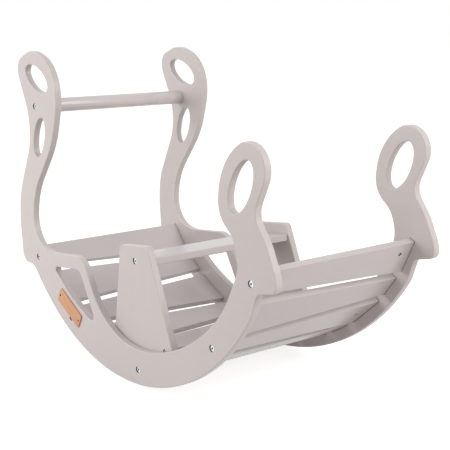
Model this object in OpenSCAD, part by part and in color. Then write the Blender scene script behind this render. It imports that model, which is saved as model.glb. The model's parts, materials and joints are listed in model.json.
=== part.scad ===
// Rocking climbing arch for children. Two shaped side plates carry eleven boards on an arc,
// a grab bar joins the tall horns, and a lift-out seat stands on the boards in the middle.
// X runs from the tall horns to the short horns, Y from the near plate to the far plate and Z is up.
// The origin is under the middle of the bounding box, on the floor that the arch rests on.

/* [Rocker] */
// Radius of the rocking edge
rocker_r = 600; // [560:1:660]
// Width over both side plates
overall_w = 500; // [420:1:620]
// Thickness of a side plate
plate_t = 18; // [16:0.5:24]
// Lean towards the tall horns in which the arch comes to rest
rest_tilt = 7.65; // [4:0.05:11]
// Angle from the lowest point at which the rocking edge ends under the tall horns
tall_end = 53.5; // [52:0.5:55]
// Angle from the lowest point at which the rocking edge ends under the short horns
short_end = 49; // [47.5:0.5:50.5]
// Depth of the side plate above its lowest point
band_depth = 84; // [78:1:92]

/* [Tall horns] */
// Distance of the eye from the notch under the horn, towards the middle
tall_eye_in = 125; // [110:1:140]
// Height of the eye above the notch
tall_eye_up = 510; // [490:1:560]
// Distance of the neck slot from the eye, away from the middle
neck_slot_out = 16; // [8:1:24]
// Distance of the neck slot below the eye
neck_slot_down = 157; // [150:1:165]

/* [Short horns] */
// Distance of the eye from the notch under the horn, towards the middle
short_eye_in = 27; // [15:1:40]
// Height of the eye above the notch
short_eye_up = 223; // [210:1:260]

/* [Hand holes] */
// Length of the eye in a tall horn
tall_eye_l = 126; // [100:1:132]
// Width of the eye in a tall horn
tall_eye_w = 60; // [50:1:66]
// Length of the neck slot
neck_slot_l = 114; // [90:1:118]
// Width of the neck slot
neck_slot_w = 56; // [44:1:60]
// Length of the eye in a short horn
short_eye_l = 128; // [100:1:134]
// Width of the eye in a short horn
short_eye_w = 64; // [50:1:70]
// Distance of the window's lower edge from the rocking edge
window_inset = 94; // [84:1:100]

/* [Boards] */
// Angle from one board to the next
slat_pitch = 11.35; // [11:0.05:11.5]
// Distance of the boards' middle plane from the rocking edge
slat_inset = 38; // [34:1:46]
// Thickness of a board
slat_t = 16; // [14:0.5:20]
// Width of a board at its wide end
slat_wide = 113; // [90:1:118]
// Width of a board at its narrow end
slat_narrow = 61; // [50:1:80]
// Distance from the middle of an end board to its straight outer edge
end_slat_edge = 31; // [26:1:36]
// Depth of the pocket that holds a board's end in a side plate
pocket_depth = 6; // [4:0.5:8]

/* [Grab bar] */
// Diameter of the grab bar
bar_d = 38; // [30:1:42]
// Distance of the bar from the eye of the tall horn, away from the middle
bar_out = 25; // [14:1:32]
// Distance of the bar below the eye of the tall horn
bar_down = 73; // [66:1:78]

/* [Seat] */
// Thickness of the seat panels and the seat board
seat_t = 18; // [15:0.5:22]
// Height of the panels' top edge above the lowest point of the arc
seat_panel_top = 345; // [320:1:420]
// Width of a panel at its top edge
seat_panel_w = 124; // [110:1:150]
// Slope of a panel's sides from the vertical
seat_panel_slope = 15.3; // [10:0.1:17]
// Height of the seat's surface above the lowest point of the arc
seat_top = 316; // [280:1:317]
// Width of the seat board
seat_board_w = 130; // [100:1:136]
// Distance of the foot bolts from the middle of the seat
foot_bolt_x = 99; // [80:1:102]
// Height of the foot bolts above the lowest point of the arc
foot_bolt_z = 91; // [86:1:110]
// Thickness of the batten behind the foot of a seat panel
batten_t = 12; // [11:0.5:16]
// Height of a batten
batten_h = 30; // [24:1:36]
// Run of a batten past its bolts
batten_over = 11; // [9:0.5:14]
// Gap between a seat panel and the side plate beside it
seat_side_gap = 1.5; // [1:0.1:4]

/* [Fastenings] */
// Diameter of the bolts
bolt_d = 6; // [5:0.5:8]
// Length of the bolts under their heads
bolt_l = 50; // [45:1:60]
// Length of the seat's foot bolts under their heads
foot_bolt_l = 20; // [18:1:22]
// Diameter of a bolt head
head_d = 15; // [14:0.5:20]
// Thickness of a bolt head
head_h = 2.6; // [2:0.1:4]
// Depth of a bolt head below the face that it sits in
head_recess = 2.2; // [1:0.1:5]
// Distance across the flats of the hexagon in a bolt head
hex_w = 5; // [3:0.5:6]
// Depth of the hexagon in a bolt head
hex_depth = 1.8; // [1:0.1:1.9]
// Distance of the cross nuts from the panel or plate that they draw up
nut_in = 34; // [28:1:40]
// Diameter of a cross nut
nut_d = 10; // [9:0.5:12]
// Length of a cross nut
nut_l = 10; // [8:0.5:12]
// Diameter of the threaded inserts in the grab bar's ends and in the battens
insert_d = 12; // [10:0.5:14]
// Length of an insert in the grab bar
insert_l = 15; // [12:1:20]
// Length of an insert in a batten
foot_insert_l = 10; // [8:0.5:10.5]

/* [Tag plate] */
// Length of the tag plate
tag_l = 120; // [80:1:130]
// Width of the tag plate
tag_w = 42; // [30:1:46]
// Thickness of the tag plate
tag_t = 3.5; // [2:0.5:6]
// Angle of the tag plate from the lowest point, towards the tall horns
tag_angle = 35.6; // [30:0.1:40]
// Distance of the tag plate's middle from the rocking edge
tag_inset = 62; // [52:1:66]
// Distance of a nail from the tag plate's end
nail_in = 7.5; // [6:0.5:12]
// Diameter of a nail's head
nail_head_d = 5; // [4:0.5:6]
// Length of a nail's shank
nail_l = 12; // [8:0.5:16]

/* [Hidden] */
$fn = 64;

paint = [0.80, 0.76, 0.75];
zinc = [0.75, 0.76, 0.78];
tag_colour = [0.82, 0.52, 0.33];
nail_colour = [0.20, 0.18, 0.17];

// Greatest distance between a round outline and the straight steps that draw it
sag = 0.1;
// Clearance round a bolt's shank, a cross nut and a threaded insert, on the diameter
shank_play = 0.6;
nut_play = 0.4;
insert_play = 0.1;
// Clearance of a bolt's shank in the thread of its nut, on the diameter
thread_play = 0.2;
// Clearance round a bolt head in its recess, on the diameter
head_play = 1.4;
// Clearance round a board's end in its pocket, on each side
pocket_play = 0.25;
// Clearance between the seat's lower edge and the boards
seat_rest_gap = 0.3;
// Width and depth of the screwdriver slot in a cross nut
nut_slot_w = 1.4;
nut_slot_depth = 1.2;
// Extra depth of a hole past the end of what it holds
hole_spare = 2;
// Cuts run this far past the faces that they open
through = 1;
// Boards that are bolted, counted from the middle one
bolted = [-5, -3, 0, 3, 5];
// Radii of the corners at the top and the bottom of a seat panel
panel_top_r = 14;
panel_foot_r = 6;
// Radius of the tag plate's corners
tag_corner_r = 6;
// Diameter of a nail's shank and thickness of its head
nail_d = 1.6;
nail_head_t = 1;
// Slant of the hand holes from the X axis
tall_eye_slant = -29;
neck_slot_slant = 63;
short_eye_slant = 56;
// Step of the angle between the points of a hand hole
hole_step = 5;

// Run along the tangent from the end of the rocking edge to the notch under each horn, and the
// place of the short horn's notch from there
tall_notch_run = 35;
short_root_run = 15;
short_root_r = 100;
short_notch_from_root = [26, 53];

// Corners of the side plate's outline: run towards the short horns, rise and radius, from the notch
// under the tall horn, its neck slot, its eye, the notch under the short horn or its eye
tall_heel = [[0, 0, 50], [-60, 0, 31], [-55, 131, 303], [-38, 201, 190]];
tall_neck_back = [[-54, -11, 141], [-49, 69, 144]];
tall_head = [[-103, 16, 61], [-100, 58, 35], [-14, 80, 92], [105, 25, 109], [95, -79, 138]];
tall_neck_front = [[68, -22, 266]];
tall_foot = [[45, 199, 190], [13, 58, 84], [120, 36, 61], [280, 34, 60]];
short_foot = [[-53, 54, 76], [-65, 115, 71]];
short_head = [[-88, -57, 68], [-60, 60, 141], [38, 103, 54], [101, 46, 58], [35, -57, 43]];
short_heel = [[44, 102, 112], [63, 43, 83], [64, 6, 20], [0, 0, 18]];
// Corners of the band's upper edge: angle from the lowest point, rise above the band and radius
band_top = [[-17.5, -23, 221], [1.1, 0, 305], [22.2, 20, 526], [43.5, 14, 284]];

// Angles at which the window's lower edge starts and ends, the runs from there along the tangents to
// its lower corners, the place of its upper corner from the notch, and the radii of the three
window_start = -46;
window_end = -25.3;
window_start_run = 30;
window_end_run = 38;
window_corner = [258, -1];
window_radii = [8, 27, 12];

// Distances worked out from the sizes above
slat_r = rocker_r - slat_inset;
inner_w = overall_w - 2 * plate_t;
seat_w = inner_w - 2 * seat_side_gap;
seat_inner_w = seat_w - 2 * seat_t;
head_pocket = head_recess + head_h;

// A point at an angle from the lowest point, on a circle about the centre of the rocking edge
function on_arc(r, a) = [r * sin(a), rocker_r - r * cos(a)];
// A point that lies a run along the tangent from there
function along(r, a, run) = on_arc(r, a) + run * [cos(a), sin(a)];
// The corner that leaves the circle at angle a and meets it again at angle b
function arc_corner(r, a, b) = concat(on_arc(r / cos((b - a) / 2), (a + b) / 2), [r]);
// Corners given from a reference point
function from(o, path) = [for (p = path) [o[0] + p[0], o[1] + p[1], p[2]]];
function flat(p) = [p[0], p[1]];
function unit(v) = v / norm(v);
function spun(v, a) = [v[0] * cos(a) - v[1] * sin(a), v[0] * sin(a) + v[1] * cos(a)];

// Turn at corner b of a path from a to c, and the length that its rounding takes from each side
function turn(a, b, c) =
    let (u = unit(flat(b) - flat(a)), v = unit(flat(c) - flat(b)))
    atan2(u[0] * v[1] - u[1] * v[0], u[0] * v[0] + u[1] * v[1]);
function reach(a, b, c) = b[2] * tan(abs(turn(a, b, c)) / 2);
// Steps that keep an arc within the sag
function steps(r, t) = max(1, ceil(abs(t) / (2 * acos(1 - sag / max(r, 2 * sag)))));
function corner_arc(a, b, c, share) =
    let (u = unit(flat(b) - flat(a)), t = turn(a, b, c), r = b[2] * share)
    let (start = flat(b) - u * reach(a, b, c) * share)
    let (hub = start + sign(t) * r * [-u[1], u[0]], n = steps(r, t))
    [for (i = [0:n]) hub + spun(start - hub, t * i / n)];
// Share of its radius that a rounding can take when its neighbour needs the same length
function fit_share(len, need) = need > len ? 0.98 * len / need : 1;
// A closed path of [x, z, radius] corners as the points of its rounded outline
function rounded(path) =
    let (n = len(path))
    let (p = [for (i = [0:n + 3]) path[(i + n - 2) % n]])
    let (d = [for (i = [1:n + 2]) reach(p[i - 1], p[i], p[i + 1])])
    [for (i = [0:n - 1])
        let (before = norm(flat(p[i + 2]) - flat(p[i + 1])), after = norm(flat(p[i + 3]) - flat(p[i + 2])))
        let (share = min(fit_share(before, d[i] + d[i + 1]), fit_share(after, d[i + 1] + d[i + 2])))
        each corner_arc(p[i + 1], p[i + 2], p[i + 3], share)];

// Reference points: the notch under each horn, the holes, the bar and the window's upper left corner
tall_notch = along(rocker_r, -tall_end, -tall_notch_run);
short_root = along(rocker_r, short_end, short_root_run);
short_notch = short_root + short_notch_from_root;
tall_eye = tall_notch + [tall_eye_in, tall_eye_up];
neck_slot = tall_eye - [neck_slot_out, neck_slot_down];
short_eye = short_notch + [-short_eye_in, short_eye_up];
bar_at = tall_eye - [bar_out, bar_down];

// The side plate's outline, clockwise from the notch under the tall horn
band_edge = [for (p = band_top) concat(on_arc(rocker_r - band_depth + p[1], p[0]), [p[2]])];
rocking_edge = [concat(short_root, [short_root_r]), arc_corner(rocker_r, -tall_end, short_end)];
plate_outline = rounded(concat(from(tall_notch, tall_heel), from(neck_slot, tall_neck_back),
    from(tall_eye, tall_head), from(neck_slot, tall_neck_front), from(tall_notch, tall_foot), band_edge,
    from(short_notch, short_foot), from(short_eye, short_head), from(short_notch, short_heel), rocking_edge));

// The window between the tall horn's foot and the boards
window_r = rocker_r - window_inset;
window_outline = rounded([concat(along(window_r, window_start, -window_start_run), [window_radii[0]]),
    concat(tall_notch + window_corner, [window_radii[1]]),
    concat(along(window_r, window_end, window_end_run), [window_radii[2]]),
    arc_corner(window_r, window_start, window_end)]);

// Middle of the leaning outline, its lowest height and the middle across the tag's nails place the origin
leaning = [for (p = plate_outline) spun(p - [0, rocker_r], rest_tilt) + [0, rocker_r]];
lean_x = [for (p = leaning) p[0]];
middle_x = (min(lean_x) + max(lean_x)) / 2;
lowest_z = min([for (p = leaning) p[1]]);
middle_y = -(tag_t + nail_head_t) / 2;

// Half widths of board k at its near and far ends, on the side towards the tall horns or away from them
function wide_near(k) = k % 2 == 0;
function half_near(k) = (wide_near(k) ? slat_wide : slat_narrow) / 2;
function half_far(k) = (wide_near(k) ? slat_narrow : slat_wide) / 2;
function left_half(k, w) = k == min(bolted) ? end_slat_edge : w;
function right_half(k, w) = k == max(bolted) ? end_slat_edge : w;

// The seat panel's outline: its lower edge follows the boards and its sides slope in to the top.
// The foot is where the slope meets the tangent of the lower edge over the first board from the middle.
seat_rest_r = slat_r - slat_t / 2 - seat_rest_gap;
foot_from = on_arc(seat_rest_r, slat_pitch);
foot_over = seat_panel_w / 2 + (seat_panel_top - foot_from[1]) * tan(seat_panel_slope) - foot_from[0];
foot_run = foot_over / (cos(slat_pitch) + sin(slat_pitch) * tan(seat_panel_slope));
foot = along(seat_rest_r, slat_pitch, foot_run);
panel_outline = rounded([[-foot[0], foot[1], panel_foot_r], [-seat_panel_w / 2, seat_panel_top, panel_top_r],
    [seat_panel_w / 2, seat_panel_top, panel_top_r], [foot[0], foot[1], panel_foot_r],
    arc_corner(seat_rest_r, -slat_pitch, slat_pitch)]);

// Everything is drawn upright in the plates' own plane and then leans into its rest position
module placed() {
    translate([-middle_x, -middle_y, rocker_r - lowest_z])
        rotate([0, -rest_tilt, 0]) translate([0, 0, -rocker_r]) children();
}

// An upright sheet with an outline in X and Z, from y towards the near side
module sheet(y, t) {
    translate([0, y, 0]) rotate([90, 0, 0]) linear_extrude(t) children();
}

// Local frame in the middle of board k: X along the arc, Z towards the arc's centre
module at_slat(k) {
    translate([0, 0, rocker_r]) rotate([0, -slat_pitch * k, 0]) translate([0, 0, -slat_r]) children();
}

// Local frame of a bolt that enters at p in a face at distance y: Z runs into the wood
module at_bolt(p, y, side) {
    translate([p[0], side * y, p[1]]) rotate([side * 90, 0, 0]) children();
}

module ellipse_at(p, l, w, slant) {
    translate(p) rotate(slant)
        polygon([for (a = [0:hole_step:360 - hole_step]) [l / 2 * cos(a), w / 2 * sin(a)]]);
}

// Room for a bolt in the board or panel whose outer face it enters
module bolt_hole(depth) {
    translate([0, 0, -through]) cylinder(d = head_d + head_play, h = head_pocket + through);
    cylinder(d = bolt_d + shank_play, h = depth);
}

module bolt(l) {
    translate([0, 0, head_recess]) difference() {
        union() {
            cylinder(d = head_d, h = head_h);
            cylinder(d = bolt_d, h = head_h + l);
        }
        translate([0, 0, -through]) cylinder(d = hex_w / cos(30), h = hex_depth + through, $fn = 6);
    }
}

// Hole past the tip of a bolt of length l, from a face that lies sunk below the one its head sits in
module shank_hole(l, sunk = 0) {
    cylinder(d = bolt_d + shank_play, h = head_pocket + l + hole_spare - sunk);
}

module side_plate(side) {
    color(paint) difference() {
        sheet(side > 0 ? overall_w / 2 : plate_t - overall_w / 2, plate_t) difference() {
            polygon(plate_outline);
            polygon(window_outline);
            ellipse_at(tall_eye, tall_eye_l, tall_eye_w, tall_eye_slant);
            ellipse_at(neck_slot, neck_slot_l, neck_slot_w, neck_slot_slant);
            ellipse_at(short_eye, short_eye_l, short_eye_w, short_eye_slant);
        }
        for (k = [-5:5]) at_slat(k) slat_pocket(k, side);
        for (k = bolted) at_bolt(on_arc(slat_r, slat_pitch * k), overall_w / 2, side) bolt_hole(plate_t);
        at_bolt(bar_at, overall_w / 2, side) bolt_hole(plate_t + through);
        if (side < 0) tag_nails_at() translate([0, 0, -nail_l]) cylinder(d = nail_d, h = nail_l + through);
    }
}

// Pocket for a board's end in the inner face of a side plate
module slat_pocket(k, side) {
    w = side < 0 ? half_near(k) : half_far(k);
    left = left_half(k, w) + pocket_play;
    size = [left + right_half(k, w) + pocket_play, pocket_depth + through, slat_t + 2 * pocket_play];
    y = side < 0 ? -inner_w / 2 - pocket_depth : inner_w / 2 - through;
    translate([-left, y, -size[2] / 2]) cube(size);
}

module slat(k) {
    half_l = inner_w / 2 + pocket_depth;
    near = half_near(k);
    far = half_far(k);
    plan = [[-left_half(k, near), -half_l], [right_half(k, near), -half_l],
        [right_half(k, far), half_l], [-left_half(k, far), half_l]];
    color(paint) placed() at_slat(k) difference() {
        translate([0, 0, -slat_t / 2]) linear_extrude(slat_t) polygon(plan);
        if (len(search(k, bolted)) > 0) for (side = [-1, 1]) {
            at_bolt([0, 0], overall_w / 2, side) shank_hole(bolt_l);
            translate([0, side * (inner_w / 2 - nut_in), -slat_t / 2]) nut_hole(slat_t / 2);
        }
    }
}

// Hole from a face at height 0 for a cross nut whose bolt runs at height bolt_z
module nut_hole(bolt_z) {
    translate([0, 0, -through]) cylinder(d = nut_d + nut_play, h = through + bolt_z + nut_l / 2 + nut_play);
}

// A cross nut in that hole, with its screwdriver slot at the hole's mouth
module cross_nut(bolt_z) {
    color(zinc) translate([0, 0, bolt_z]) difference() {
        translate([0, 0, -nut_l / 2]) cylinder(d = nut_d, h = nut_l);
        translate([0, nut_d, 0]) rotate([90, 0, 0]) cylinder(d = bolt_d + thread_play, h = 2 * nut_d);
        translate([-nut_d, -nut_slot_w / 2, -nut_l])
            cube([2 * nut_d, nut_slot_w, nut_l / 2 + nut_slot_depth]);
    }
}

module slat_bolts(side) {
    color(zinc) placed() for (k = bolted)
        at_bolt(on_arc(slat_r, slat_pitch * k), overall_w / 2, side) bolt(bolt_l);
}

module slat_nuts(side) {
    placed() for (k = bolted)
        at_slat(k) translate([0, side * (inner_w / 2 - nut_in), -slat_t / 2]) cross_nut(slat_t / 2);
}

module grab_bar() {
    color(paint) placed() translate([bar_at[0], inner_w / 2, bar_at[1]]) rotate([90, 0, 0]) difference() {
        cylinder(d = bar_d, h = inner_w, $fn = 96);
        for (end = [0, 1]) translate([0, 0, end * inner_w]) mirror([0, 0, end]) {
            insert_hole(insert_l);
            shank_hole(bolt_l, plate_t);
        }
    }
}

module bar_bolts() {
    color(zinc) placed() for (side = [-1, 1]) at_bolt(bar_at, overall_w / 2, side) bolt(bolt_l);
}

// Hole for a threaded insert of length l, and the insert
module insert_hole(l) {
    translate([0, 0, -through]) cylinder(d = insert_d + insert_play, h = l + insert_play + through);
}

module insert(l) {
    difference() {
        cylinder(d = insert_d, h = l);
        translate([0, 0, -through]) cylinder(d = bolt_d + thread_play, h = l + 2 * through);
    }
}

module bar_inserts() {
    color(zinc) placed() for (side = [-1, 1]) at_bolt(bar_at, inner_w / 2, side) insert(insert_l);
}

// Where a seat panel is bolted: to the seat board's end, and to the batten behind its foot
seat_bolt_at = [0, seat_top - seat_t / 2];
foot_bolts_at = [[-foot_bolt_x, foot_bolt_z], [foot_bolt_x, foot_bolt_z]];

module seat_panel(side) {
    color(paint) placed() difference() {
        sheet(side > 0 ? seat_w / 2 : seat_t - seat_w / 2, seat_t) polygon(panel_outline);
        for (p = concat([seat_bolt_at], foot_bolts_at))
            at_bolt(p, seat_w / 2, side) bolt_hole(seat_t + through);
    }
}

// The seat board lies between the panels, with its cross nuts put in from below
module seat_board() {
    color(paint) placed() translate([seat_bolt_at[0], 0, seat_bolt_at[1]]) difference() {
        cube([seat_board_w, seat_inner_w, seat_t], center = true);
        for (side = [-1, 1]) {
            at_bolt([0, 0], seat_w / 2, side) shank_hole(bolt_l);
            translate([0, side * (seat_inner_w / 2 - nut_in), -seat_t / 2]) nut_hole(seat_t / 2);
        }
    }
}

module seat_batten(side) {
    size = [2 * (foot_bolt_x + batten_over), batten_t, batten_h];
    color(paint) placed() difference() {
        translate([0, side * (seat_inner_w - batten_t) / 2, foot_bolt_z]) cube(size, center = true);
        for (p = foot_bolts_at) {
            at_bolt(p, seat_w / 2, side) shank_hole(foot_bolt_l);
            at_bolt(p, seat_inner_w / 2, side) insert_hole(foot_insert_l);
        }
    }
}

module seat_bolts() {
    color(zinc) placed() for (side = [-1, 1]) at_bolt(seat_bolt_at, seat_w / 2, side) bolt(bolt_l);
}

module seat_nuts() {
    placed() for (side = [-1, 1])
        translate([seat_bolt_at[0], side * (seat_inner_w / 2 - nut_in), seat_bolt_at[1]]) cross_nut(0);
}

module seat_foot_bolts() {
    color(zinc) placed() for (side = [-1, 1], p = foot_bolts_at)
        at_bolt(p, seat_w / 2, side) bolt(foot_bolt_l);
}

module seat_foot_inserts() {
    color(zinc) placed() for (side = [-1, 1], p = foot_bolts_at)
        at_bolt(p, seat_inner_w / 2, side) insert(foot_insert_l);
}

// Local frame of the tag plate: X along the arc and Z away from the near plate
module at_tag() {
    translate([0, -overall_w / 2, rocker_r]) rotate([0, tag_angle, 0])
        translate([0, 0, tag_inset - rocker_r]) rotate([90, 0, 0]) children();
}

module tag_nails_at() {
    for (end = [-1, 1]) at_tag() translate([end * (tag_l / 2 - nail_in), 0, 0]) children();
}

module tag_plate() {
    corners = [for (c = [[-1, -1], [1, -1], [1, 1], [-1, 1]])
        [c[0] * tag_l / 2, c[1] * tag_w / 2, tag_corner_r]];
    color(tag_colour) placed() difference() {
        at_tag() linear_extrude(tag_t) polygon(rounded(corners));
        tag_nails_at() translate([0, 0, -through]) cylinder(d = nail_d, h = tag_t + 2 * through);
    }
}

module tag_nails() {
    color(nail_colour) placed() tag_nails_at() union() {
        translate([0, 0, tag_t]) cylinder(d = nail_head_d, h = nail_head_t);
        translate([0, 0, tag_t - nail_l]) cylinder(d = nail_d, h = nail_l);
    }
}

placed() side_plate(-1);  // near_side_plate
placed() side_plate(1);  // far_side_plate
slat(-5);  // slat_1
slat(-4);  // slat_2
slat(-3);  // slat_3
slat(-2);  // slat_4
slat(-1);  // slat_5
slat(0);  // slat_6
slat(1);  // slat_7
slat(2);  // slat_8
slat(3);  // slat_9
slat(4);  // slat_10
slat(5);  // slat_11
grab_bar();
seat_panel(-1);  // seat_near_panel
seat_panel(1);  // seat_far_panel
seat_board();
seat_batten(-1);  // seat_near_batten
seat_batten(1);  // seat_far_batten
slat_bolts(-1);  // near_slat_bolts
slat_bolts(1);  // far_slat_bolts
slat_nuts(-1);  // near_slat_nuts
slat_nuts(1);  // far_slat_nuts
bar_bolts();
bar_inserts();
seat_bolts();
seat_nuts();
seat_foot_bolts();
seat_foot_inserts();
tag_plate();
tag_nails();
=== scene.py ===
"""Looks of the rocking climbing arch: painted boards, zinc fastenings, light and camera."""
import json
import logging
import math
from dataclasses import dataclass, field
from enum import Enum
from typing import ClassVar, Iterable, Optional, Sequence, Union

import bmesh
import bpy
from mathutils import Matrix, Vector


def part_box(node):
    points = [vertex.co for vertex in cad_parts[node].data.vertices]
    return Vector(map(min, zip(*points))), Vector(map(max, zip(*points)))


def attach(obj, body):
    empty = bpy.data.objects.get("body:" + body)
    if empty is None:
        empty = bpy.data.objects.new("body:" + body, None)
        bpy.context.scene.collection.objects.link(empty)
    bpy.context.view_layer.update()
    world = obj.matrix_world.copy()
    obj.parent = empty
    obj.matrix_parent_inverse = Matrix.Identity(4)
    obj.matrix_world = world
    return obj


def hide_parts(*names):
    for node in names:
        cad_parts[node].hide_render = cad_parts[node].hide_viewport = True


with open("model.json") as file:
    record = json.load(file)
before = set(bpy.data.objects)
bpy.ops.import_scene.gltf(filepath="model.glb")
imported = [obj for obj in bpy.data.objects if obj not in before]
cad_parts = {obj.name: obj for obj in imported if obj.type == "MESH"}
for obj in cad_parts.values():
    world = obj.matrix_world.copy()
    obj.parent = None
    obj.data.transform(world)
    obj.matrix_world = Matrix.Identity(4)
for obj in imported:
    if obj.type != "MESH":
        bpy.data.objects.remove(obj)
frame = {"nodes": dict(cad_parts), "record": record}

log = logging.getLogger("climbing_arch")
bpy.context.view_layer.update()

MM = 0.001
FLAT = 0.02 * MM
BOARD_COUNT = 11
Number = Union["Wire", float]
Colour = tuple[float, float, float]
Place = tuple[float, float, float]
Point = tuple[float, float]


def from_srgb(red: int, green: int, blue: int) -> Colour:
    """Turn a colour of 0 to 255 a channel into the linear values that shaders take.

    Args:
        red: The red channel.
        green: The green channel.
        blue: The blue channel.

    Returns:
        The linear colour.
    """
    def linear(channel: int) -> float:
        """Return one channel's linear value."""
        share = channel / 255
        return share / 12.92 if share <= 0.04045 else ((share + 0.055) / 1.055) ** 2.4
    return linear(red), linear(green), linear(blue)


class Along(Enum):
    """The axis that a piece's wood grain runs along."""

    LENGTH = (1.0, 0.0, 0.0)
    WIDTH = (0.0, 1.0, 0.0)
    HEIGHT = (0.0, 0.0, 1.0)


@dataclass(frozen=True)
class Wire:
    """A shader socket that sums, differences and products can be written on."""

    graph: "Graph"
    socket: bpy.types.NodeSocket

    def __add__(self, other: Number) -> "Wire":
        """Return this value plus another."""
        return self.graph.maths("ADD", self, other)

    def __radd__(self, other: Number) -> "Wire":
        """Return another value plus this one."""
        return self.graph.maths("ADD", other, self)

    def __sub__(self, other: Number) -> "Wire":
        """Return this value less another."""
        return self.graph.maths("SUBTRACT", self, other)

    def __rsub__(self, other: Number) -> "Wire":
        """Return another value less this one."""
        return self.graph.maths("SUBTRACT", other, self)

    def __mul__(self, other: Number) -> "Wire":
        """Return this value times another."""
        return self.graph.maths("MULTIPLY", self, other)

    def __rmul__(self, other: Number) -> "Wire":
        """Return another value times this one."""
        return self.graph.maths("MULTIPLY", other, self)


class Graph:
    """The node tree of a material or of the world."""

    def __init__(self, owner: Union[bpy.types.Material, bpy.types.World]) -> None:
        """Start on the nodes that the owner has.

        Args:
            owner: The material or the world.
        """
        owner.use_nodes = True
        self.owner = owner
        self.tree = owner.node_tree

    @classmethod
    def named(cls, name: str) -> "Graph":
        """Return the graph of a new material."""
        return cls(bpy.data.materials.new(name))

    def node(self, kind: str, settings: Optional[dict] = None, inputs: Optional[dict] = None,
             output: Union[int, str] = 0) -> Wire:
        """Add any node.

        Args:
            kind: The node's type.
            settings: Its properties, which are set first. A ramp's stops are given as "stops".
            inputs: Values or wires for its sockets, by name or number.
            output: The socket that is returned.

        Returns:
            One of the node's outputs.
        """
        made = self.tree.nodes.new(kind)
        for name, value in (settings or {}).items():
            if name == "stops":
                self.set_stops(made, value)
            else:
                setattr(made, name, value)
        for name, value in (inputs or {}).items():
            self.feed(made.inputs[name], value)
        return Wire(self, made.outputs[output])

    @staticmethod
    def set_stops(ramp: bpy.types.Node, stops: Sequence[tuple[float, float]]) -> None:
        """Give a ramp its stops.

        Args:
            ramp: The Color Ramp node.
            stops: Places with the grey value of each, lowest first.
        """
        elements = ramp.color_ramp.elements
        while len(elements) < len(stops):
            elements.new(1.0)
        for element, (place, grey) in zip(elements, stops):
            element.position = place
            element.color = (grey, grey, grey, 1.0)

    def feed(self, socket: bpy.types.NodeSocket, value: object) -> None:
        """Link a wire to a socket, or set the socket's own value.

        Args:
            socket: The input.
            value: A wire, a number, a colour or a vector.
        """
        if isinstance(value, Wire):
            self.tree.links.new(value.socket, socket)
        elif socket.type == "RGBA" and len(value) == 3:
            socket.default_value = (*value, 1.0)
        else:
            socket.default_value = value

    def maths(self, operation: str, *values: Number) -> Wire:
        """Add a Math node for one operation on values."""
        return self.node("ShaderNodeMath", {"operation": operation}, dict(enumerate(values)))

    def place(self) -> Wire:
        """Return the place on the object, in metres of the shared frame."""
        return self.node("ShaderNodeTexCoord", output="Object")

    def stretched(self, place: Wire, scale: Sequence[float]) -> Wire:
        """Return a place scaled along each axis."""
        return self.node("ShaderNodeVectorMath", {"operation": "MULTIPLY"}, {0: place, 1: scale})

    def noise(self, place: Wire, scale: float, detail: float = 3.0, roughness: float = 0.55) -> Wire:
        """Return noise from 0 to 1 at a number of features per metre."""
        inputs = {"Vector": place, "Scale": scale, "Detail": detail, "Roughness": roughness}
        return self.node("ShaderNodeTexNoise", None, inputs)

    def ramp(self, value: Wire, stops: Sequence[tuple[float, float]]) -> Wire:
        """Return a value sent through a ramp of grey stops."""
        return self.node("ShaderNodeValToRGB", {"stops": stops}, {"Fac": value})

    def blend(self, share: Number, first: object, second: object) -> Wire:
        """Return a colour between two, the second at a share of 1."""
        inputs = {"Factor": share, 6: first, 7: second}
        return self.node("ShaderNodeMix", {"data_type": "RGBA"}, inputs, output=2)

    def bump(self, height: Wire, distance: float, strength: float, under: Optional[Wire] = None) -> Wire:
        """Raise the surface.

        Args:
            height: The height, from 0 to 1.
            distance: What a height of 1 stands for, in metres.
            strength: The share of it that shows.
            under: The normal of the bumps below these.

        Returns:
            The new normal.
        """
        inputs = {"Height": height, "Distance": distance, "Strength": strength}
        if under is not None:
            inputs["Normal"] = under
        return self.node("ShaderNodeBump", None, inputs)

    def seen(self) -> Wire:
        """Tell the rays that show a thing from those that carry light.

        Returns:
            1 for rays from the camera, from a reflection or through glass, and 0 for others.
        """
        camera, glossy, through = (self.node("ShaderNodeLightPath", output=f"Is {kind} Ray")
                                   for kind in ("Camera", "Glossy", "Transmission"))
        return self.maths("MAXIMUM", self.maths("MAXIMUM", camera, glossy), through)

    def mix_for_view(self, lighting: Wire, shown: Wire, output: str) -> None:
        """End the tree in one shader for light and another for what is seen.

        Args:
            lighting: The shader that gives light off.
            shown: The shader that is seen.
            output: The name of the tree's output node.
        """
        mixed = self.node("ShaderNodeMixShader", None, {0: self.seen(), 1: lighting, 2: shown})
        self.feed(self.tree.nodes[output].inputs["Surface"], mixed)

    def finish(self, **sockets: object) -> bpy.types.Material:
        """Feed the Principled shader's sockets and return the material.

        Args:
            **sockets: Values or wires, named as the sockets are, with underscores for spaces.

        Returns:
            The finished material.
        """
        shader = self.tree.nodes["Principled BSDF"]
        for name, value in sockets.items():
            self.feed(shader.inputs[name.replace("_", " ")], value)
        return self.owner


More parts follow.
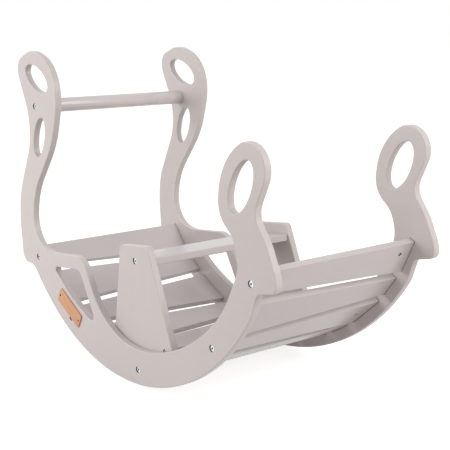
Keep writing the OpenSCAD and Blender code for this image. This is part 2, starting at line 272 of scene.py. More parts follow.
@dataclass(frozen=True)
class SatinPaint:
    """Warm grey satin paint on wood, whose grain and brush marks show faintly through it."""

    name: str
    grain: Along
    tint: Colour = from_srgb(204, 195, 193)
    tint_spread: float = 0.045
    roughness: float = 0.36
    coat: float = 0.22
    coat_roughness: float = 0.18
    grain_depth: float = 0.22 * MM
    peel_depth: float = 0.05 * MM
    ply_depth: float = 0.0
    ply_thickness: float = 1.5 * MM
    ply_patches: float = 60.0
    clouds: float = 5.0
    streaks: float = 55.0
    pores: float = 420.0
    peel: float = 900.0
    drawn_out: float = 0.06

    def grain_scale(self) -> Place:
        """Return the stretch that draws the grain out along its axis."""
        return tuple(self.drawn_out if along else 1.0 for along in self.grain.value)

    def material(self) -> bpy.types.Material:
        """Build the paint's nodes.

        Returns:
            The material.
        """
        graph = Graph.named(self.name)
        place = graph.place()
        drawn = graph.stretched(place, self.grain_scale())
        cloud = graph.noise(place, self.clouds, 2.0)
        streak = graph.noise(drawn, self.streaks, 4.0, 0.6)
        pores = graph.ramp(graph.noise(drawn, self.pores, 2.0, 0.7), [(0.34, 0.0), (0.46, 1.0)])
        peel = graph.noise(place, self.peel, 2.0, 0.5)
        dark = tuple(channel * (1 - 2 * self.tint_spread) for channel in self.tint)
        light = tuple(channel * (1 + self.tint_spread) for channel in self.tint)
        colour = graph.blend(cloud * 0.55 + streak * 0.35 + pores * 0.10, dark, light)
        gloss = self.roughness - 0.06 + 0.10 * cloud + 0.05 * (1 - pores)
        normal = graph.bump(streak * 0.75 + pores * 0.25, self.grain_depth, 0.55)
        normal = graph.bump(peel, self.peel_depth, 0.5, normal)
        if self.ply_depth:
            normal = graph.bump(self.plies(graph, place), self.ply_depth, 0.6, normal)
        return graph.finish(Base_Color=colour, Roughness=gloss, Normal=normal,
                            Coat_Weight=self.coat, Coat_Roughness=self.coat_roughness)

    def plies(self, graph: Graph, place: Wire) -> Wire:
        """Return the faint ridges of the plywood's layers on the edges of a plate.

        Args:
            graph: The material's graph.
            place: The place on the object.

        Returns:
            A height that runs in bands across the plate's thickness, and is flat on its faces.
        """
        across = graph.node("ShaderNodeSeparateXYZ", None, {0: place}, output="Y")
        band = graph.maths("SINE", across * (2 * math.pi / self.ply_thickness))
        wave = band * 0.5 + 0.5
        facing = graph.node("ShaderNodeNewGeometry", output="Normal")
        sideways = graph.node("ShaderNodeSeparateXYZ", None, {0: facing}, output="Y")
        edge_on = 1 - graph.maths("ABSOLUTE", sideways)
        patches = graph.noise(place, self.ply_patches)
        return wave * graph.ramp(edge_on, [(0.55, 0.0), (0.85, 1.0)]) * patches


@dataclass(frozen=True)
class ZincPlate:
    """Bright zinc on turned steel, with fine turning marks and a few dull spots."""

    name: str
    tint: Colour = from_srgb(226, 231, 238)
    dull: Colour = from_srgb(176, 182, 192)
    roughness: float = 0.24
    spots: float = 260.0
    marks: float = 2400.0
    mark_depth: float = 0.03 * MM
    turning: Place = (1.0, 0.1, 1.0)

    def material(self) -> bpy.types.Material:
        """Build the zinc's nodes.

        Returns:
            The material.
        """
        graph = Graph.named(self.name)
        place = graph.place()
        spots = graph.ramp(graph.noise(place, self.spots, 4.0), [(0.40, 0.0), (0.68, 1.0)])
        marks = graph.noise(graph.stretched(place, self.turning), self.marks, 2.0)
        colour = graph.blend(spots, self.tint, self.dull)
        gloss = self.roughness + spots * 0.18 + marks * 0.08
        normal = graph.bump(marks, self.mark_depth, 0.5)
        return graph.finish(Base_Color=colour, Roughness=gloss, Normal=normal, Metallic=1.0)


@dataclass(frozen=True)
class TagVeneer:
    """Orange-brown veneer with fine grain and dark pores along the tag's length."""

    name: str
    light: Colour = from_srgb(222, 168, 130)
    dark: Colour = from_srgb(200, 142, 102)
    slant: float = math.radians(-43.25)
    figure: float = 150.0
    pores: float = 1100.0
    grain_depth: float = 0.1 * MM
    drawn_out: Place = (0.07, 1.0, 1.0)

    def material(self) -> bpy.types.Material:
        """Build the veneer's nodes.

        Returns:
            The material.
        """
        graph = Graph.named(self.name)
        turned = graph.node("ShaderNodeVectorRotate", {"rotation_type": "Y_AXIS"},
                            {"Vector": graph.place(), "Angle": self.slant})
        drawn = graph.stretched(turned, self.drawn_out)
        figure = graph.noise(drawn, self.figure, 5.0, 0.65)
        pores = graph.ramp(graph.noise(drawn, self.pores, 2.0), [(0.38, 0.0), (0.5, 1.0)])
        shade = graph.ramp(figure, [(0.32, 0.0), (0.62, 1.0)]) * 0.75 + (1 - pores) * 0.25
        colour = graph.blend(shade, self.light, self.dark)
        normal = graph.bump(figure * 0.6 + pores * 0.4, self.grain_depth, 0.6)
        gloss = 0.50 + 0.12 * figure
        return graph.finish(Base_Color=colour, Roughness=gloss, Normal=normal)


@dataclass(frozen=True)
class BoreShade:
    """Dark wood tone on the deep walls of bolt recesses and nut holes, with a faint grain: painted shade
    that stands in for the shadow inside them.
    """

    name: str
    light: Colour = from_srgb(104, 88, 76)
    dark: Colour = from_srgb(52, 43, 37)
    rings: float = 700.0
    ring_depth: float = 0.2 * MM
    across: Place = (1.0, 3.0, 1.0)

    def material(self) -> bpy.types.Material:
        """Build the wood's nodes.

        Returns:
            The material.
        """
        graph = Graph.named(self.name)
        rings = graph.noise(graph.stretched(graph.place(), self.across), self.rings, 4.0)
        shade = graph.ramp(rings, [(0.35, 0.0), (0.65, 1.0)])
        colour = graph.blend(shade, self.dark, self.light)
        return graph.finish(Base_Color=colour, Roughness=0.75 + 0.15 * rings,
                            Normal=graph.bump(rings, self.ring_depth, 0.6))


@dataclass(frozen=True)
class BlackenedSteel:
    """Dark steel of the tag's small nails."""

    name: str
    light: Colour = from_srgb(86, 78, 72)
    dark: Colour = from_srgb(38, 34, 32)
    scales: float = 900.0
    scale_depth: float = 0.04 * MM

    def material(self) -> bpy.types.Material:
        """Build the steel's nodes.

        Returns:
            The material.
        """
        graph = Graph.named(self.name)
        scale = graph.noise(graph.place(), self.scales, 3.0)
        colour = graph.blend(scale, self.dark, self.light)
        return graph.finish(Base_Color=colour, Roughness=0.35 + 0.2 * scale, Metallic=0.85,
                            Normal=graph.bump(scale, self.scale_depth, 0.5))


@dataclass
class Solid:
    """A CAD node read as a form: its box, its flat faces' outlines and its separate solids."""

    name: str
    corner_share: ClassVar[float] = 0.8

    @property
    def mesh(self) -> bpy.types.Mesh:
        """Return the node's mesh."""
        return frame["nodes"][self.name].data

    @property
    def body(self) -> str:
        """Return the body that the node rides on."""
        groups = frame["record"]["behaviour"]["bodies"]
        return next(body for body, nodes in groups.items() if self.name in nodes)

    def outlines(self, side: int) -> list[list[Point]]:
        """Find the outlines in the flat face at one end of the node along Y.

        Args:
            side: -1 for the face towards the near side, 1 for the far side.

        Returns:
            Closed outlines as (x, z) points in order.
        """
        low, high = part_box(self.name)
        level = low.y if side < 0 else high.y
        points = {}
        ends = {}
        for face in self.mesh.polygons:
            corners = [self.mesh.vertices[i].co for i in face.vertices]
            if any(abs(corner.y - level) > FLAT for corner in corners):
                continue
            keys = [(round(corner.x, 6), round(corner.z, 6)) for corner in corners]
            points.update(zip(keys, ((corner.x, corner.z) for corner in corners)))
            for first, second in zip(keys, keys[1:] + keys[:1]):
                if ends.get(second) and first in ends[second]:
                    ends[second].remove(first)
                else:
                    ends.setdefault(first, []).append(second)
        return [[points[key] for key in loop] for loop in self.chains(ends)]

    @staticmethod
    def chains(ends: dict) -> list[list[Point]]:
        """Follow edges from point to point until each chain closes.

        Args:
            ends: For each point, the points that an edge leads to.

        Returns:
            The closed chains.
        """
        found = []
        while any(ends.values()):
            start = next(key for key, following in ends.items() if following)
            chain = [start]
            while ends.get(chain[-1]):
                step = ends[chain[-1]].pop()
                if step == start:
                    break
                chain.append(step)
            if len(chain) > 2:
                found.append(chain)
        return found

    def islands(self) -> list[Vector]:
        """Find the separate solids in the node.

        Returns:
            The middle of each one's box.
        """
        parent = {}

        def root(key: Place) -> Place:
            """Follow the parents of a point.

            Args:
                key: The point.

            Returns:
                The point that stands for its solid.
            """
            while parent[key] != key:
                parent[key] = parent[parent[key]]
                key = parent[key]
            return key

        keys = [tuple(round(value, 5) for value in vertex.co) for vertex in self.mesh.vertices]
        parent.update((key, key) for key in keys)
        for edge in self.mesh.edges:
            parent[root(keys[edge.vertices[0]])] = root(keys[edge.vertices[1]])
        groups = {}
        for key in parent:
            groups.setdefault(root(key), []).append(Vector(key))
        return [middle_of_box(members) for members in groups.values()]

    def board_corners(self) -> list[list[Vector]]:
        """Find the four corners of a straight board's near end and of its far end.

        Returns:
            The near and the far corners, each in order round the end.
        """
        low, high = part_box(self.name)
        found = []
        for level in (low.y, high.y):
            end = [vertex.co.copy() for vertex in self.mesh.vertices if abs(vertex.co.y - level) < FLAT]
            middle = middle_of_box(end)
            reach = max((point - middle).length for point in end)
            corners = {tuple(round(value, 5) for value in point): point
                       for point in end if (point - middle).length > self.corner_share * reach}
            found.append(sorted(corners.values(), key=lambda p: math.atan2(p.z - middle.z, p.x - middle.x)))
        return found


def middle_of_box(points: Sequence[Vector]) -> Vector:
    """Find the middle of the box round some points.

    Args:
        points: The points.

    Returns:
        The middle.
    """
    low = Vector([min(point[i] for point in points) for i in range(3)])
    high = Vector([max(point[i] for point in points) for i in range(3)])
    return (low + high) / 2


def circle_size(outline: Sequence[Point]) -> tuple[Point, float]:
    """Measure an outline as if it were a circle.

    Args:
        outline: The outline.

    Returns:
        The middle of its box and half the box's longer side.
    """
    xs = [point[0] for point in outline]
    zs = [point[1] for point in outline]
    half = max(max(xs) - min(xs), max(zs) - min(zs)) / 2
    return ((max(xs) + min(xs)) / 2, (max(zs) + min(zs)) / 2), half


def link(name: str, data: bpy.types.ID) -> bpy.types.Object:
    """Put a mesh, a curve, a light or a camera in the scene.

    Args:
        name: The object's name.
        data: What the object holds.

    Returns:
        The object.
    """
    made = bpy.data.objects.new(name, data)
    bpy.context.scene.collection.objects.link(made)
    return made


def applied(piece: bpy.types.Object) -> bpy.types.Object:
    """Turn a piece's curve or modifiers into a plain mesh of the same name.

    Args:
        piece: The object, which is removed.

    Returns:
        The new object.
    """
    shape = bpy.data.meshes.new_from_object(piece.evaluated_get(bpy.context.evaluated_depsgraph_get()))
    name = piece.name
    bpy.data.objects.remove(piece)
    return link(name, shape)


def into_mesh(form: bmesh.types.BMesh, mesh: bpy.types.Mesh) -> bpy.types.Mesh:
    """Write a form into a mesh, with its faces looking outwards.

    Args:
        form: The form, which is freed.
        mesh: The mesh.

    Returns:
        The same mesh.
    """
    bmesh.ops.recalc_face_normals(form, faces=form.faces)
    form.to_mesh(mesh)
    form.free()
    return mesh


def weld(mesh: bpy.types.Mesh, reach: float = 0.01 * MM, empty: float = 0.001 * MM) -> None:
    """Join corners that coincide, so that the mesh is closed and holds no empty face.

    Args:
        mesh: The mesh.
        reach: The distance within which corners are joined.
        empty: The length below which an edge counts as none.
    """
    form = bmesh.new()
    form.from_mesh(mesh)
    bmesh.ops.remove_doubles(form, verts=form.verts, dist=reach)
    bmesh.ops.dissolve_degenerate(form, edges=form.edges, dist=empty)
    into_mesh(form, mesh)


def lathe(profile: Sequence[Point], steps: int = 48) -> bmesh.types.BMesh:
    """Turn a closed profile about the Z axis.

    Args:
        profile: (radius, height) points from the lower middle to the upper middle.
        steps: Steps round the axis.

    Returns:
        The solid.
    """
    form = bmesh.new()
    rings = []
    for radius, height in profile:
        turns = [2 * math.pi * step / steps for step in range(steps)] if radius else [0.0]
        rings.append([form.verts.new((radius * math.cos(a), radius * math.sin(a), height)) for a in turns])
    for lower, upper in zip(rings, rings[1:]):
        for step in range(steps):
            after = (step + 1) % steps
            corners = [lower[step % len(lower)], lower[after % len(lower)],
                       upper[after % len(upper)], upper[step % len(upper)]]
            form.faces.new(list(dict.fromkeys(corners)))
    return form


def shade(mesh: bpy.types.Mesh, crease: float = 34.0) -> None:
    """Shade a mesh smooth apart from its creases.

    Args:
        mesh: The mesh.
        crease: The angle in degrees from which an edge stays sharp.
    """
    mesh.shade_smooth()
    mesh.set_sharp_from_angle(angle=math.radians(crease))


@dataclass
class Cutter:
    """A round hole that is cut into a piece: its mouth, its direction and its profile."""

    mouth: Vector
    inward: Vector
    radius: float
    depth: float
    lip: float = 0.3 * MM
    # Depth from which the hole's walls take the dark painted shade; above it they keep the piece's paint.
    shade_from: float = 1.0 * MM
    slack: float = 0.1 * MM
    over: float = 2.0 * MM

    def holds(self, point: Vector) -> bool:
        """Tell whether a point lies on the hole's walls, deep enough to take the painted shade.

        Args:
            point: The point.

        Returns:
            Whether the wall takes the painted shade there.
        """
        way = point - self.mouth
        deep = way.dot(self.inward)
        off = (way - self.inward * deep).length
        return self.shade_from < deep < self.depth + self.slack and off < self.radius + self.slack

    def mesh(self) -> bpy.types.Mesh:
        """Turn the tool of the cut, whose lip breaks the hole's edge.

        Returns:
            The tool, which stands over the surface a little.
        """
        brim = self.radius + self.lip
        profile = [(0.0, -self.over), (brim + self.over, -self.over), (brim, 0.0), (self.radius, self.lip),
                   (self.radius, self.shade_from), (self.radius, self.depth), (0.0, self.depth)]
        form = lathe(profile)
        turn = Vector((0, 0, 1)).rotation_difference(self.inward).to_matrix().to_4x4()
        form.transform(Matrix.Translation(self.mouth) @ turn)
        return into_mesh(form, bpy.data.meshes.new("cutter"))


@dataclass
class Pocket:
    """A pocket for a board's end in the inner face of a plate, with a little room round it."""

    end: list[Vector]
    face: float
    side: int
    room: float = 0.9 * MM
    lip: float = 0.6 * MM

    def mesh(self) -> bpy.types.Mesh:
        """Return the tool of the cut, which widens towards the pocket's mouth.

        Returns:
            The tool.
        """
        middle = middle_of_box(self.end)
        levels = [(middle.y, self.room), (self.face + self.side * self.lip, self.room),
                  (self.face - self.side * self.lip, self.room + 2 * self.lip)]
        form = bmesh.new()
        rings = [[form.verts.new(self.spread(corner, middle, room, y)) for corner in self.end]
                 for y, room in levels]
        form.faces.new(rings[0])
        form.faces.new(rings[-1])
        for lower, upper in zip(rings, rings[1:]):
            for i in range(4):
                form.faces.new([lower[i], lower[(i + 1) % 4], upper[(i + 1) % 4], upper[i]])
        return into_mesh(form, bpy.data.meshes.new("pocket"))

    def spread(self, corner: Vector, middle: Vector, room: float, y: float) -> Vector:
        """Move a corner out from the middle along both sides of the board's end.

        Args:
            corner: The corner.
            middle: The middle of the end.
            room: The distance from each side.
            y: The new corner's place along Y.

        Returns:
            The new corner.
        """
        along = (self.end[1] - self.end[0]).normalized()
        across = (self.end[2] - self.end[1]).normalized()
        way = corner - middle
        out = along * math.copysign(room, way.dot(along)) + across * math.copysign(room, way.dot(across))
        return Vector((corner.x + out.x, y, corner.z + out.z))


def cut(piece: bpy.types.Object, cutters: Iterable[Union[Cutter, Pocket]]) -> bpy.types.Object:
    """Cut holes into a piece.

    Args:
        piece: The piece.
        cutters: The holes.

    Returns:
        The cut piece.
    """
    tools = [link("cutter", cutter.mesh()) for cutter in cutters]
    for tool in tools:
        change = piece.modifiers.new("cut", "BOOLEAN")
        change.operation = "DIFFERENCE"
        change.solver = "EXACT"
        change.object = tool
    done = applied(piece)
    weld(done.data)
    for tool in tools:
        bpy.data.objects.remove(tool)
    return done


@dataclass
class RoundedSheet:
    """A flat sheet of board with shaped outlines and rounded edges."""

    name: str
    outlines: list[list[Point]]
    near: float
    far: float
    edge: float
    steps: int = 3

    def build(self) -> bpy.types.Object:
        """Fill the outlines, give the sheet its thickness and round its edges.

        Returns:
            The piece, with its faces between Y near and Y far.
        """
        curve = bpy.data.curves.new(self.name, "CURVE")
        curve.dimensions = "2D"
        curve.fill_mode = "BOTH"
        curve.extrude = (self.far - self.near) / 2 - self.edge
        curve.bevel_depth = self.edge
        curve.bevel_resolution = self.steps
        curve.offset = -self.edge
        for outline in self.outlines:
            spline = curve.splines.new("POLY")
            spline.points.add(len(outline) - 1)
            for point, (x, z) in zip(spline.points, outline):
                point.co = (x, z, 0.0, 1.0)
            spline.use_cyclic_u = True
        piece = applied(link(self.name, curve))
        middle = Matrix.Translation((0, (self.near + self.far) / 2, 0))
        piece.data.transform(middle @ Matrix.Rotation(math.pi / 2, 4, "X"))
        weld(piece.data)
        return piece


@dataclass
class RoundedBoard:
    """A straight board between two ends of four corners each, with rounded edges."""

    name: str
    ends: list[list[Vector]]
    edge: float
    steps: int = 4

    def build(self) -> bpy.types.Object:
        """Join the ends and round the edges.

        Returns:
            The piece.
        """
        form = bmesh.new()
        near, far = ([form.verts.new(corner) for corner in end] for end in self.ends)
        form.faces.new(near)
        form.faces.new(far)
        for i in range(4):
            form.faces.new([near[i], near[(i + 1) % 4], far[(i + 1) % 4], far[i]])
        bmesh.ops.recalc_face_normals(form, faces=form.faces)
        bmesh.ops.bevel(form, geom=list(form.edges), offset=self.edge, segments=self.steps,
                        profile=0.5, affect="EDGES", clamp_overlap=True)
        return link(self.name, into_mesh(form, bpy.data.meshes.new(self.name)))


@dataclass
class BoltedSheet:
    """A rounded sheet in a CAD node's place, with recesses for bolt heads in its outer face."""

    node: str
    side: int
    edge: float
    recess_radius: float = 8.2 * MM
    recess_depth: float = 4.8 * MM
    recess_spread: float = 0.2
    smallest_window: float = 20.0 * MM

    def level(self, side: int) -> float:
        """Return Y of the face that looks to one side."""
        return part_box(self.node)[0 if side < 0 else 1].y

    def recesses(self) -> list[Cutter]:
        """Find the circles in the outer face that have about a recess's size.

        Returns:
            The tools of the cuts.
        """
        circles = [circle_size(outline) for outline in Solid(self.node).outlines(self.side)]
        mouth_y, inward = self.level(self.side), Vector((0, -self.side, 0))
        return [Cutter(Vector((x, mouth_y, z)), inward, self.recess_radius, self.recess_depth)
                for (x, z), half in circles if abs(half / self.recess_radius - 1) < self.recess_spread]

    def build(self, name: str, cutters: Sequence[Union[Cutter, Pocket]]) -> bpy.types.Object:
        """Build the sheet within the node's outline and round its windows, and cut holes into it.

        Args:
            name: The piece's name.
            cutters: The holes.

        Returns:
            The piece.
        """
        outlines = [outline for outline in Solid(self.node).outlines(self.side)
                    if circle_size(outline)[1] > self.smallest_window]
        sheet = RoundedSheet(name, outlines, self.level(-1), self.level(1), self.edge)
        return cut(sheet.build(), cutters)


@dataclass
class Finishes:
    """The object's materials, one for each way that the paint's grain runs."""

    plate: bpy.types.Material = field(default_factory=lambda: SatinPaint(
        "satin paint on plates", Along.LENGTH, ply_depth=0.12 * MM).material())
    panel: bpy.types.Material = field(default_factory=lambda: SatinPaint(
        "satin paint on panels", Along.HEIGHT, ply_depth=0.12 * MM).material())
    board: bpy.types.Material = field(default_factory=lambda: SatinPaint(
        "satin paint on boards", Along.WIDTH, tint=from_srgb(204, 196, 195)).material())
    # Painted light: the bar's tint is a lighter copy of the plates' paint, so the bar reads as brightly
    # lit.
    bar: bpy.types.Material = field(default_factory=lambda: SatinPaint(
        "satin paint on the bar, lightened as painted light", Along.WIDTH, tint=from_srgb(212, 204, 202), roughness=0.30).material())
    zinc: bpy.types.Material = field(default_factory=lambda: ZincPlate("bright zinc").material())
    # Blue zinc tint, made much darker as painted shade for the inside of the hex sockets.
    socket: bpy.types.Material = field(default_factory=lambda: ZincPlate(
        "blued zinc with painted socket shade", tint=from_srgb(92, 112, 150), dull=from_srgb(44, 56, 84), roughness=0.34).material())
    # Painted shade: a dark wood tone for the deep walls of recesses and nut holes.
    bore_shade: bpy.types.Material = field(default_factory=lambda: BoreShade("painted shade in bores").material())
    veneer: bpy.types.Material = field(default_factory=lambda: TagVeneer("tag veneer").material())
    nail: bpy.types.Material = field(default_factory=lambda: BlackenedSteel("blackened steel").material())


@dataclass
class Assembly:
    """A group of pieces that share a way of being finished and hung on the frame."""

    finishes: Finishes
    made: list[str] = field(default_factory=list, init=False)
    title: ClassVar[str] = "assembly"
    head_edge: ClassVar[float] = 0.35 * MM
    fitting_edge: ClassVar[float] = 0.25 * MM
    hexagon_reach: ClassVar[float] = 3.0 * MM
    hexagon_depth: ClassVar[float] = 1.9 * MM
    weld_reach: ClassVar[float] = 0.005 * MM
    broken_from: ClassVar[float] = math.radians(50)
    edge_steps: ClassVar[int] = 2
    face_weight: ClassVar[int] = 100

    def dress(self, piece: bpy.types.Object, node: str, finish: bpy.types.Material, slot: str,
              shaded_bores: Sequence[Cutter] = ()) -> None:
        """Give a new piece its finish and put it in a CAD node's place.

        Args:
            piece: The new piece.
            node: The node that it stands for.
            finish: Its material.
            slot: The record's material slot; not used.
            shaded_bores: The holes whose deep walls take the painted shade.
        """
        shade(piece.data)
        piece.data.materials.clear()
        piece.data.materials.append(finish)
        # The deep walls of recesses and nut holes take the dark wood tone as painted shade.
        if shaded_bores:
            piece.data.materials.append(self.finishes.bore_shade)
        for face in piece.data.polygons:
            face.material_index = int(any(bore_shade.holds(face.center) for bore_shade in shaded_bores))
        flat = piece.modifiers.new("flat faces stay flat", "WEIGHTED_NORMAL")
        flat.keep_sharp = True
        flat.weight = self.face_weight
        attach(piece, Solid(node).body)
        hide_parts(node)
        self.made.append(f"{piece.name}, {len(piece.data.polygons)} faces")

    def refine(self, node: str, finish: bpy.types.Material, edge: float) -> None:
        """Keep a CAD node, break its sharp edges and give it a finish.

        Args:
            node: The node.
            finish: Its material.
            edge: The radius on its edges.
        """
        kept = frame["nodes"][node]
        kept.data.materials.clear()
        kept.data.materials.append(finish)
        shade(kept.data)
        joined = kept.modifiers.new("weld", "WELD")
        joined.merge_threshold = self.weld_reach
        bevel = kept.modifiers.new("edges", "BEVEL")
        bevel.width = edge
        bevel.segments = self.edge_steps
        bevel.limit_method = "ANGLE"
        bevel.angle_limit = self.broken_from
        bevel.harden_normals = True
        self.made.append(f"{node} keeps its solid")

    def refine_bolts(self, node: str) -> None:
        """Finish a node of bolts, with painted shade on the hexagon sockets in their heads: a darker blued
        zinc than the rest.

        Args:
            node: The node.
        """
        self.refine(node, self.finishes.zinc, self.head_edge)
        kept = Solid(node).mesh
        # The socket faces take the darker blued zinc as painted shade.
        kept.materials.append(self.finishes.socket)
        low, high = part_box(node)
        middles = Solid(node).islands()
        for face in kept.polygons:
            deep = min(face.center.y - low.y, high.y - face.center.y)
            off = min(math.hypot(face.center.x - middle.x, face.center.z - middle.z) for middle in middles)
            if off < self.hexagon_reach and FLAT < deep < self.hexagon_depth:
                face.material_index = 1

    def build(self) -> None:
        """Build every piece of the group."""
        raise NotImplementedError


@dataclass
class SidePlates(Assembly):
    """The two shaped plates with their hand holes, windows and bolt recesses."""

    edge: float = 2.3 * MM
    title: ClassVar[str] = "side plates"

    def build(self) -> None:
        """Build both plates."""
        self.plate("near_side_plate", -1)
        self.plate("far_side_plate", 1)

    def plate(self, node: str, side: int) -> None:
        """Build one plate.

        Args:
            node: The CAD node.
            side: -1 for the near plate, 1 for the far one.
        """
        sheet = BoltedSheet(node, side, self.edge)
        recesses = sheet.recesses()
        pockets = self.pockets(side, sheet.level(-side))
        piece = sheet.build(node.replace("_side", "_shaped"), recesses + pockets)
        self.dress(piece, node, self.finishes.plate, "paint", recesses)

    @staticmethod
    def pockets(side: int, face: float) -> list[Pocket]:
        """Return the pockets of the boards' ends in one plate.

        Args:
            side: -1 for the near plate, 1 for the far one.
            face: Y of the plate's inner face.

        Returns:
            The tools of the cuts.
        """
        end = 0 if side < 0 else 1
        return [Pocket(Solid(f"slat_{number}").board_corners()[end], face, side)
                for number in range(1, BOARD_COUNT + 1)]


@dataclass
class Boards(Assembly):
    """The eleven tapered boards, with the holes of their cross nuts."""

    edge: float = 1.4 * MM
    lowest: str = "slat_6"
    arc_middle_up: float = 500.0 * MM
    nut_radius: float = 5.2 * MM
    nut_depth: float = 13.4 * MM
    title: ClassVar[str] = "boards"

    def build(self) -> None:
        """Build every board."""
        nuts = Solid("near_slat_nuts").islands() + Solid("far_slat_nuts").islands()
        inside = middle_of_box([corner for end in Solid(self.lowest).board_corners() for corner in end])
        inside += Vector((0, 0, self.arc_middle_up))
        for number in range(1, BOARD_COUNT + 1):
            node = f"slat_{number}"
            ends = Solid(node).board_corners()
            piece = RoundedBoard(f"board_{number}", ends, self.edge).build()
            outward = self.outward(ends, inside)
            low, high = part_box(node)
            cutters = [self.nut_hole(nut, ends, outward) for nut in nuts
                       if low.x < nut.x < high.x and low.z < nut.z < high.z]
            if cutters:
                piece = cut(piece, cutters)
            self.dress(piece, node, self.finishes.board, "paint", cutters)

    @staticmethod
    def outward(ends: list[list[Vector]], inside: Vector) -> Vector:
        """Return the direction in which a board's outer face looks.

        Args:
            ends: The board's corners.
            inside: A point inside the arc.

        Returns:
            The unit normal away from that point, along the end's shorter side.
        """
        near = ends[0]
        sides = [near[1] - near[0], near[2] - near[1]]
        normal = min(sides, key=lambda side: side.length).normalized()
        return normal if normal.dot(near[0] - inside) > 0 else -normal

    def nut_hole(self, nut: Vector, ends: list[list[Vector]], outward: Vector) -> Cutter:
        """Return the hole of one cross nut, which opens in the board's outer face.

        Args:
            nut: The middle of the nut.
            ends: The board's corners.
            outward: The direction of the outer face.

        Returns:
            The cutter.
        """
        face = max(corner.dot(outward) for end in ends for corner in end)
        mouth = nut + outward * (face - nut.dot(outward))
        return Cutter(mouth, -outward, self.nut_radius, self.nut_depth)


@dataclass
class LiftOutSeat(Assembly):
    """The seat that stands on the boards: two panels, the seat board, two battens and their bolts."""

    panel_edge: float = 2.4 * MM
    board_edge: float = 2.2 * MM
    batten_edge: float = 0.8 * MM
    title: ClassVar[str] = "seat"

    def build(self) -> None:
        """Build the panels and the board and finish the rest."""
        self.panel("seat_near_panel", -1)
        self.panel("seat_far_panel", 1)
        board = RoundedBoard("seat_board_rounded", Solid("seat_board").board_corners(), self.board_edge)
        self.dress(board.build(), "seat_board", self.finishes.board, "paint")
        for node in ("seat_near_batten", "seat_far_batten"):
            self.refine(node, self.finishes.plate, self.batten_edge)
        self.refine_bolts("seat_bolts")
        self.refine_bolts("seat_foot_bolts")
        for node in ("seat_nuts", "seat_foot_inserts"):
            self.refine(node, self.finishes.zinc, self.fitting_edge)

    def panel(self, node: str, side: int) -> None:
        """Build one seat panel.

        Args:
            node: The CAD node.
            side: -1 for the near panel, 1 for the far one.
        """
        sheet = BoltedSheet(node, side, self.panel_edge)
        recesses = sheet.recesses()
        self.dress(sheet.build(f"{node}_rounded", recesses), node, self.finishes.panel, "paint", recesses)


@dataclass
class GrabBar(Assembly):
    """The round bar between the tall horns, its bolts and its inserts."""

    edge: float = 0.8 * MM
    title: ClassVar[str] = "grab bar"

    def build(self) -> None:
        """Finish the bar and its fastenings."""
        self.refine("grab_bar", self.finishes.bar, self.edge)
        self.refine_bolts("bar_bolts")
        self.refine("bar_inserts", self.finishes.zinc, self.fitting_edge)


@dataclass
class BoardFastenings(Assembly):
    """The bolts and cross nuts that hold the boards."""

    title: ClassVar[str] = "fastenings"

    def build(self) -> None:
        """Finish the bolts and nuts."""
        self.refine_bolts("near_slat_bolts")
        self.refine_bolts("far_slat_bolts")
        for node in ("near_slat_nuts", "far_slat_nuts"):
            self.refine(node, self.finishes.zinc, self.fitting_edge)


@dataclass
class TagPlate(Assembly):
    """The bare tag plate on the near side plate, and its nails."""

    edge: float = 0.6 * MM
    nail_edge: float = 0.3 * MM
    title: ClassVar[str] = "tag plate"

    def build(self) -> None:
        """Build the plate and finish its nails."""
        low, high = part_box("tag_plate")
        shapes = Solid("tag_plate").outlines(-1)
        outer = max(shapes, key=lambda outline: circle_size(outline)[1])
        piece = RoundedSheet("tag_plate_rounded", [outer], low.y, high.y, self.edge).build()
        self.dress(piece, "tag_plate", self.finishes.veneer, "tag")
        self.refine("tag_nails", self.finishes.nail, self.nail_edge)


@dataclass(frozen=True)
class SoftLamp:
    """A square soft light that looks at the middle of the object."""

    name: str
    place: Place
    size: float
    power: float
    tint: Colour
    target: Place = (0.0, 0.0, 0.35)

    def hang(self) -> None:
        """Put the lamp in the scene."""
        light = bpy.data.lights.new(self.name, "AREA")
        light.color = self.tint
        light.size = self.size
        light.energy = self.power
        lamp = link(self.name, light)
        lamp.location = self.place
        way = Vector(self.target) - Vector(self.place)
        lamp.rotation_euler = way.to_track_quat("-Z", "Y").to_euler()


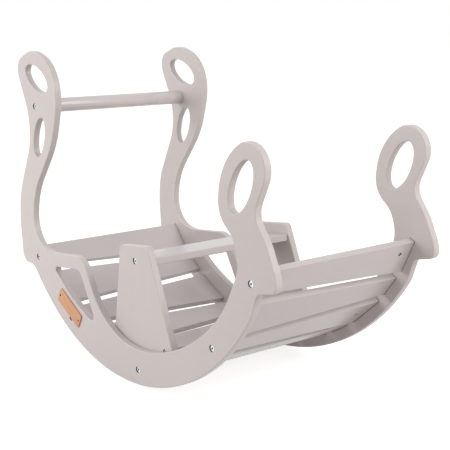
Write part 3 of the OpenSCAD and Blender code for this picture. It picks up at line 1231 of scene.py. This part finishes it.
@dataclass(frozen=True)
class Studio:
    """Plain pale floor, soft light and the camera of the photograph."""

    azimuth: float = 51.782
    elevation: float = 12.256
    roll: float = -0.093
    camera_place: Place = (2.0269, -1.5373, 0.9209)
    lens: float = 80.69
    sensor: float = 36.0
    sight: float = 100.0
    sky: float = 0.62
    sky_tint: Colour = (0.985, 0.995, 1.0)
    floor_half: float = 14.0
    floor_roughness: float = 0.9
    floor_tone: Colour = (0.50, 0.475, 0.46)
    bounce_tone: Colour = (0.54, 0.517, 0.503)
    floor_white: float = 0.80
    lamps: tuple[SoftLamp, ...] = (
        SoftLamp("key light", (-2.0, -2.9, 1.5), 2.0, 63.0, (1.0, 0.995, 0.99)),
        SoftLamp("side light", (3.1, 0.6, 2.2), 1.6, 57.0, (1.0, 0.985, 0.97)))

    def build(self) -> None:
        """Set up the view, the floor, the lamps and the camera."""
        bpy.context.scene.view_settings.view_transform = "Standard"
        self.world()
        self.floor()
        for lamp in self.lamps:
            lamp.hang()
        self.camera()

    def world(self) -> None:
        """Light everything softly from all round, and show plain white behind the floor."""
        world = bpy.data.worlds.new("studio")
        bpy.context.scene.world = world
        graph = Graph(world)
        graph.tree.nodes.remove(graph.tree.nodes["Background"])
        soft = graph.node("ShaderNodeBackground", None, {"Color": self.sky_tint, "Strength": self.sky})
        white = graph.node("ShaderNodeBackground", None, {"Color": (1.0, 1.0, 1.0), "Strength": 1.0})
        graph.mix_for_view(soft, white, "World Output")

    def floor(self) -> None:
        """Lay a plain pale floor that keeps the object's shadow."""
        form = bmesh.new()
        bmesh.ops.create_grid(form, x_segments=8, y_segments=8, size=self.floor_half)
        mesh = bpy.data.meshes.new("floor")
        form.to_mesh(mesh)
        form.free()
        floor = link("floor", mesh)
        graph = Graph.named("pale floor")
        mesh.materials.append(graph.finish(Base_Color=self.bounce_tone, Roughness=self.floor_roughness,
                                           Specular_IOR_Level=0.0))
        bounce = Wire(graph, graph.tree.nodes["Principled BSDF"].outputs[0])
        matt = graph.node("ShaderNodeBsdfDiffuse", None, {"Color": self.floor_tone})
        glow = graph.node("ShaderNodeEmission", None, {"Strength": self.floor_white})
        lifted = graph.node("ShaderNodeAddShader", None, {0: matt, 1: glow})
        graph.mix_for_view(bounce, lifted, "Material Output")

    def camera(self) -> None:
        """Stand the camera where the photograph was taken from."""
        data = bpy.data.cameras.new("photograph")
        data.lens = self.lens
        data.sensor_width = self.sensor
        data.clip_end = self.sight
        camera = link("photograph", data)
        camera.location = self.camera_place
        turns = (90 - self.elevation, self.roll, self.azimuth)
        camera.rotation_euler = [math.radians(turn) for turn in turns]
        bpy.context.scene.camera = camera


def main() -> None:
    """Build every group in order and report its pieces, then build the studio."""
    logging.basicConfig(level=logging.INFO, format="%(message)s")
    finishes = Finishes()
    groups: list[type[Assembly]] = [SidePlates, Boards, LiftOutSeat, GrabBar, BoardFastenings, TagPlate]
    for group in groups:
        assembly = group(finishes)
        assembly.build()
        for line in assembly.made:
            log.info("%s: %s", assembly.title, line)
    Studio().build()


if __name__ == "__main__":
    main()
